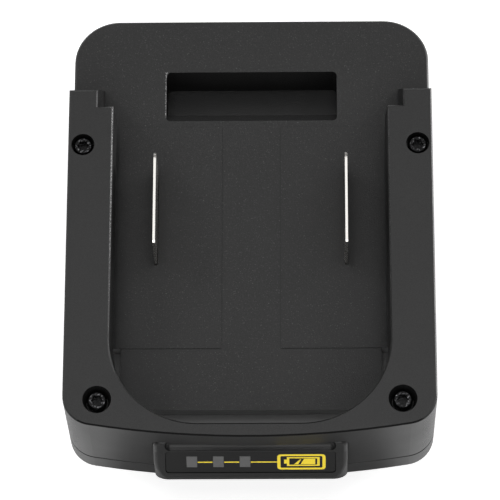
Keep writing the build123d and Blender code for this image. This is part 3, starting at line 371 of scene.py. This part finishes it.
def nickel_plate():
    """Nickel-plated copper blades, rolled: a warm white metal with fine marks along its length."""
    material, tree = new_finish("nickel_plated_copper")
    point = add(tree, "ShaderNodeTexCoord").outputs["Object"]
    # Rolling marks about 0.1 mm apart run along Y
    stretched = add(tree, "ShaderNodeMapping", Vector=point, Scale=(1.0, 0.02, 1.0))
    marks = add(tree, "ShaderNodeTexNoise", Vector=stretched.outputs["Vector"], Scale=1 / (0.1 * mm),
                Detail=2.0)
    gloss = add(tree, "ShaderNodeMapRange", Value=marks.outputs["Fac"], To_Min=0.18, To_Max=0.34)
    relief = add(tree, "ShaderNodeBump", Strength=0.25, Distance=0.02 * mm, Height=marks.outputs["Fac"])
    tone = add(tree, "ShaderNodeMix", COLOURS, Factor=marks.outputs["Fac"],
               A=colour("#dad8d3"), B=colour("#e8e6e2"))
    shader = add(tree, "ShaderNodeBsdfPrincipled", Base_Color=tone.outputs["Result"], Metallic=1.0,
                 Roughness=gloss.outputs["Result"], Normal=relief.outputs["Normal"])
    add(tree, "ShaderNodeOutputMaterial", Surface=shader.outputs["BSDF"])
    return material


def blackened_steel():
    """Steel screws with a black phosphate coat: near black, with bright patches painted round the sockets as
    highlights.
    """
    material, tree = new_finish("phosphated_steel")
    point = add(tree, "ShaderNodeTexCoord").outputs["Object"]
    grain = add(tree, "ShaderNodeTexNoise", Vector=point, Scale=1 / (0.3 * mm), Detail=3.0)
    # Round the sockets of the four housing screws, bright patches are painted in: painted highlights
    where = add(tree, "ShaderNodeSeparateXYZ", Vector=point)
    across = add(tree, "ShaderNodeMath", SIZE, _0=where.outputs["X"])
    folded = add(tree, "ShaderNodeCombineXYZ", X=across.outputs[0], Y=where.outputs["Y"])
    rear, front = (add(tree, "ShaderNodeVectorMath", {"operation": "DISTANCE"},
                       _0=folded.outputs["Vector"], _1=screw) for screw in (REAR_SCREW, FRONT_SCREW))
    nearest = add(tree, "ShaderNodeMath", SMALLER, _0=rear.outputs["Value"], _1=front.outputs["Value"])
    ring = add(tree, "ShaderNodeMath", NEAR, _0=nearest.outputs[0], _1=SOCKET_RING[0], _2=SOCKET_RING[1])
    patches = add(tree, "ShaderNodeTexNoise", Vector=point, Scale=1 / (0.45 * mm), Detail=2.0)
    highlight_patches = add(tree, "ShaderNodeMapRange", Value=patches.outputs["Fac"], From_Min=0.54, From_Max=0.68)
    painted_light_and_shade_mask = add(tree, "ShaderNodeMath", TIMES, _0=ring.outputs[0], _1=highlight_patches.outputs["Result"])
    gloss = add(tree, "ShaderNodeMapRange", Value=grain.outputs["Fac"], To_Min=0.14, To_Max=0.32)
    relief = add(tree, "ShaderNodeBump", Strength=0.8, Distance=0.1 * mm, Height=grain.outputs["Fac"])
    coat = add(tree, "ShaderNodeMix", COLOURS, Factor=grain.outputs["Fac"],
               A=colour("#0c0c0c"), B=colour("#1a1a1b"))
    tone = add(tree, "ShaderNodeMix", COLOURS, Factor=painted_light_and_shade_mask.outputs[0],
               A=coat.outputs["Result"], B=colour("#6a6a6c"))
    shader = add(tree, "ShaderNodeBsdfPrincipled", Base_Color=tone.outputs["Result"], Metallic=0.85,
                 Roughness=gloss.outputs["Result"], Normal=relief.outputs["Normal"])
    add(tree, "ShaderNodeOutputMaterial", Surface=shader.outputs["BSDF"])
    return material


def board_laminate():
    """Glass-epoxy board: a green solder mask, paler over the copper tracks, with a slight gloss."""
    material, tree = new_finish("solder_masked_laminate")
    point = add(tree, "ShaderNodeTexCoord").outputs["Object"]
    # Copper tracks lie about 1.2 mm apart
    tracks = add(tree, "ShaderNodeTexBrick", {"offset": 0.5, "squash": 1.0}, Vector=point,
                 Scale=0.5 / (1.2 * mm), Color1=colour("#0f4d28"), Color2=colour("#12562d"),
                 Mortar=colour("#1f7a43"), Mortar_Size=0.04)
    shader = add(tree, "ShaderNodeBsdfPrincipled", Base_Color=tracks.outputs["Color"], Roughness=0.35,
                 IOR=1.5, Coat_Weight=0.3)
    add(tree, "ShaderNodeOutputMaterial", Surface=shader.outputs["BSDF"])
    return material


def mottled(name, low, high, roughness, grain, metallic=0.0):
    """A plain moulded, drawn or glazed finish: an even colour with a slight mottle over a fine grain.

    The mottle keeps the small pieces from looking flat; grain is its size in mm.
    """
    material, tree = new_finish(name)
    point = add(tree, "ShaderNodeTexCoord").outputs["Object"]
    speck = add(tree, "ShaderNodeTexNoise", Vector=point, Scale=1 / (grain * mm), Detail=2.0)
    tone = add(tree, "ShaderNodeMix", COLOURS, Factor=speck.outputs["Fac"],
               A=colour(low), B=colour(high))
    relief = add(tree, "ShaderNodeBump", Strength=0.2, Distance=0.02 * mm, Height=speck.outputs["Fac"])
    shader = add(tree, "ShaderNodeBsdfPrincipled", Base_Color=tone.outputs["Result"], Metallic=metallic,
                 Roughness=roughness, Normal=relief.outputs["Normal"])
    add(tree, "ShaderNodeOutputMaterial", Surface=shader.outputs["BSDF"])
    return material


def dress(finish, *nodes):
    """Give a finish to every material slot of these CAD nodes."""
    for name in nodes:
        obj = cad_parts[name]
        if not obj.data.materials:
            obj.data.materials.append(finish)
        for slot in obj.material_slots:
            slot.material = finish


def finishes():
    """Each CAD node gets the finish of the real piece."""
    dress(moulded_nylon(), "upper_housing", "lower_housing", "gauge_bezel", "release_latch")
    dress(gauge_face(), "gauge_panel", "gauge_key")
    dress(smoked_window(), "light_guide")
    dress(nickel_plate(), "positive_blade", "negative_blade", "positive_clip", "negative_clip",
          "signal_clips")
    dress(blackened_steel(), "housing_screws", "carrier_screws", "board_screws", "terminal_block_screws")
    dress(board_laminate(), "gauge_board", "protection_board")
    dress(mottled("epoxy_moulding_resin", "#1b1b1c", "#242425", 0.5, 0.2), "mosfets", "controller_chip",
          "gauge_switch")
    dress(mottled("glass_filled_polyester", "#3c3c3e", "#48484a", 0.55, 0.3), "blade_carrier",
          "terminal_block", "switch_plunger")
    dress(mottled("diffusing_epoxy", "#d8d6c8", "#e4e2d6", 0.35, 0.3), "gauge_leds")
    dress(mottled("satin_aluminium_can", "#c9cacc", "#d6d7d8", 0.3, 0.1, 1.0), "capacitor")
    dress(mottled("glazed_ceramic", "#e2e0d6", "#ebe9e0", 0.2, 0.4), "fuse")
    dress(mottled("drawn_spring_wire", "#a9a9a8", "#bcbcba", 0.28, 0.1, 1.0), "latch_spring_left",
          "latch_spring_right")
    dress(mottled("red_silicone_sleeve", "#a31515", "#b31d1b", 0.55, 0.3), "positive_lead",
          "positive_output_lead")
    dress(mottled("black_silicone_sleeve", "#19191a", "#222223", 0.55, 0.3), "negative_lead",
          "negative_output_lead")
    dress(mottled("white_silicone_sleeve", "#d2d1cd", "#dedcd8", 0.55, 0.3), "signal_leads", "gauge_leads")


def printed_lines(yellow, navy):
    """The lines that link the windows and the key's frame."""
    clear = WINDOW_WIDTH / 2 + LINE_GAP
    starts = [centre + clear for centre in WINDOW_CENTRES]
    stops = [centre - clear for centre in WINDOW_CENTRES[1:]] + [KEY_CENTRE - FRAME_WIDTH / 2]
    for n, x_ends in enumerate(zip(starts, stops)):
        edge = LINE_WIDTH / 2 + UNDERPRINT_EDGE
        under = flat_bar("line_underprint_%d" % n, x_ends, (-edge, edge))
        lay_on_panel(under, navy, UNDERPRINT_THICKNESS, "housing")
        line = flat_bar("printed_line_%d" % n, x_ends, (-LINE_WIDTH / 2, LINE_WIDTH / 2))
        lay_on_panel(line, yellow, INK_THICKNESS, "housing")


def key_frame(yellow, navy):
    """The frame printed round the key."""
    centre = (KEY_CENTRE, 0.0)
    wide = 2 * UNDERPRINT_EDGE
    under = flat_ring("frame_underprint", centre, (FRAME_WIDTH + wide, FRAME_HEIGHT + wide),
                      (FRAME_STROKE[0] + wide, FRAME_STROKE[1] + wide), FRAME_CORNER)
    lay_on_panel(under, navy, UNDERPRINT_THICKNESS, "housing")
    ring = flat_ring("printed_key_frame", centre, (FRAME_WIDTH, FRAME_HEIGHT), FRAME_STROKE, FRAME_CORNER)
    lay_on_panel(ring, yellow, INK_THICKNESS, "housing")


def battery_pictogram(name, edge):
    """A plain battery symbol: nub, case, a slanted bar and a slanted fill, grown by edge all round."""
    case = flat_ring(name + "_case", (SYMBOL_LEFT + CASE_SIZE[0] / 2, SYMBOL_Y),
                     [size + 2 * edge for size in CASE_SIZE], [stroke + 2 * edge for stroke in CASE_STROKE])
    nub = flat_bar(name + "_nub", (SYMBOL_LEFT + NUB_X[0] - edge, SYMBOL_LEFT + NUB_X[1]),
                   (SYMBOL_Y - NUB_HALF - edge, SYMBOL_Y + NUB_HALF + edge))
    y_ends = (SYMBOL_Y + FILL_Y[0] - edge, SYMBOL_Y + FILL_Y[1] + edge)
    slanted = (("_bar", BAR_X, (FILL_LEAN, FILL_LEAN)), ("_fill", FILL_X, (FILL_LEAN, 0.0)))
    bar, fill = (flat_bar(name + part, (SYMBOL_LEFT + x_ends[0] - edge, SYMBOL_LEFT + x_ends[1] + edge),
                          y_ends, lean) for part, x_ends, lean in slanted)
    return join([case, nub, bar, fill], name)


def gauge_prints():
    """All that is printed on the gauge; the symbol rides on the key."""
    yellow = screen_ink("yellow_screen_ink", "#ffe030", "#ffe636")
    navy = screen_ink("navy_screen_ink", "#10131f", "#151a2b")
    printed_lines(yellow, navy)
    key_frame(yellow, navy)
    lay_on_panel(battery_pictogram("symbol_underprint", SYMBOL_EDGE), navy, UNDERPRINT_THICKNESS, "key")
    lay_on_panel(battery_pictogram("battery_pictogram", 0.0), yellow, INK_THICKNESS, "key")


def coil_springs():
    """A copy of each latch spring stands for its CAD node, on the housing, with a mesh of its own."""
    for side in ("left", "right"):
        node = "latch_spring_" + side
        spring = bpy.data.objects.new("coil_spring_" + side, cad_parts[node].data.copy())
        bpy.context.scene.collection.objects.link(spring)
        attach(spring, "housing")
        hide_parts(node)
        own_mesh(spring)


def studio_floor():
    """Pale painted floor: white to the camera, with the object's shadow kept.

    What shines sees painted reflections: a floor that glows white to the left and right of the object, and a
    dark grey patch before it.
    """
    bpy.ops.object.select_all(action="DESELECT")
    # A hair below the foot, so that the two faces don't flicker through each other
    bpy.ops.mesh.primitive_plane_add(size=6.0, location=(0, 0, -0.02 * mm))
    floor = bpy.context.object
    floor.name = "studio_floor"
    paint, tree = new_finish("pale_floor_paint")
    point = add(tree, "ShaderNodeTexCoord").outputs["Object"]
    speck = add(tree, "ShaderNodeTexNoise", Vector=point, Scale=1 / (16 * mm))
    tone = add(tree, "ShaderNodeMix", COLOURS, Factor=speck.outputs["Fac"],
               A=colour("#f2f2f2"), B=colour("#f6f6f6"))
    rays = add(tree, "ShaderNodeLightPath")
    seen = add(tree, "ShaderNodeMath", LARGER, _0=rays.outputs["Is Camera Ray"],
               _1=rays.outputs["Is Transmission Ray"])
    white = add(tree, "ShaderNodeMath", TIMES, _0=seen.outputs[0], _1=0.6)
    # Painted reflection: to mirrors alone the floor glows white beyond the edges of the dark patch
    where = add(tree, "ShaderNodeSeparateXYZ", Vector=point)
    across = add(tree, "ShaderNodeMath", SIZE, _0=where.outputs["X"])
    beside = add(tree, "ShaderNodeMapRange", {"interpolation_type": "SMOOTHSTEP"}, Value=across.outputs[0],
                 From_Min=27 * mm, From_Max=37 * mm)
    painted_reflection_glow = add(tree, "ShaderNodeMath", TIMES, _0=rays.outputs["Is Glossy Ray"],
                   _1=beside.outputs["Result"])
    strength = add(tree, "ShaderNodeMath", LARGER, _0=white.outputs[0], _1=painted_reflection_glow.outputs[0])
    # and a dark grey patch before the object is painted in for mirrors alone: a painted reflection
    dark_reflection = add(tree, "ShaderNodeMath", TIMES, _0=rays.outputs["Is Glossy Ray"], _1=0.6)
    floor_and_dark_reflection = add(tree, "ShaderNodeMix", COLOURS, Factor=dark_reflection.outputs[0],
                A=tone.outputs["Result"], B=colour("#141414"))
    matt = add(tree, "ShaderNodeBsdfDiffuse", Color=floor_and_dark_reflection.outputs["Result"])
    glow = add(tree, "ShaderNodeEmission", Color=(1.0, 1.0, 1.0, 1.0), Strength=strength.outputs[0])
    both = add(tree, "ShaderNodeAddShader", _0=matt.outputs["BSDF"], _1=glow.outputs["Emission"])
    add(tree, "ShaderNodeOutputMaterial", Surface=both.outputs["Shader"])
    floor.data.materials.append(paint)


def studio_light():
    """A soft even sky, white as the camera sees it, and softboxes above, behind, before and beside."""
    world = bpy.data.worlds.new("studio_sky")
    bpy.context.scene.world = world
    world.use_nodes = True
    tree = world.node_tree
    tree.nodes.clear()
    rays = add(tree, "ShaderNodeLightPath")
    strength = add(tree, "ShaderNodeMapRange", Value=rays.outputs["Is Camera Ray"], To_Min=0.25,
                   To_Max=1.0)
    sky = add(tree, "ShaderNodeBackground", Color=(1.0, 1.0, 1.0, 1.0), Strength=strength.outputs["Result"])
    add(tree, "ShaderNodeOutputWorld", Surface=sky.outputs["Background"])
    softbox("softbox_overhead", (0.0, -0.1, 1.3), 0.5, 3.6)
    softbox("softbox_rear", (0.0, 0.5, 1.15), 0.7, 1.7)
    softbox("softbox_rear_left", (-0.85, 0.45, 0.85), 0.4, 3.0)
    softbox("softbox_rear_right", (0.85, 0.45, 0.85), 0.4, 2.7)
    softbox("softbox_right", (1.2, 0.48, 0.075), 0.15, 9.0)
    softbox("softbox_front", (0.0, -1.1, 0.9), 0.8, 6.8)


def softbox(name, place, size, power):
    """A square softbox that faces the object."""
    lamp = bpy.data.lights.new(name, "AREA")
    lamp.size = size
    lamp.energy = power
    obj = bpy.data.objects.new(name, lamp)
    bpy.context.scene.collection.objects.link(obj)
    obj.location = place
    obj.rotation_euler = (-Vector(place)).to_track_quat("-Z", "Y").to_euler()


def camera():
    """The photograph's viewpoint: high over the gauge, a long lens, and a slight roll."""
    azimuth, elevation, roll = (math.radians(degrees) for degrees in (2.625, 68.011, -2.711))
    distance = 0.68921
    target = Vector((0.0, -0.00734, 0.039))
    back = Vector((math.sin(azimuth) * math.cos(elevation), -math.cos(azimuth) * math.cos(elevation),
                   math.sin(elevation)))
    level = Vector((math.cos(azimuth), math.sin(azimuth), 0.0))
    rise = back.cross(level)
    right = level * math.cos(roll) + rise * math.sin(roll)
    up = rise * math.cos(roll) - level * math.sin(roll)
    data = bpy.data.cameras.new("camera")
    data.sensor_width = 36.0
    data.lens = 244.4
    data.clip_start = 0.01
    obj = bpy.data.objects.new("camera", data)
    bpy.context.scene.collection.objects.link(obj)
    matrix = Matrix((right, up, back)).transposed().to_4x4()
    matrix.translation = target + back * distance
    obj.matrix_world = matrix
    bpy.context.scene.camera = obj


bpy.ops.object.select_all(action="DESELECT")
bpy.context.scene.view_settings.view_transform = "Standard"
camera()
studio_floor()
studio_light()
finishes()
gauge_prints()
coil_springs()
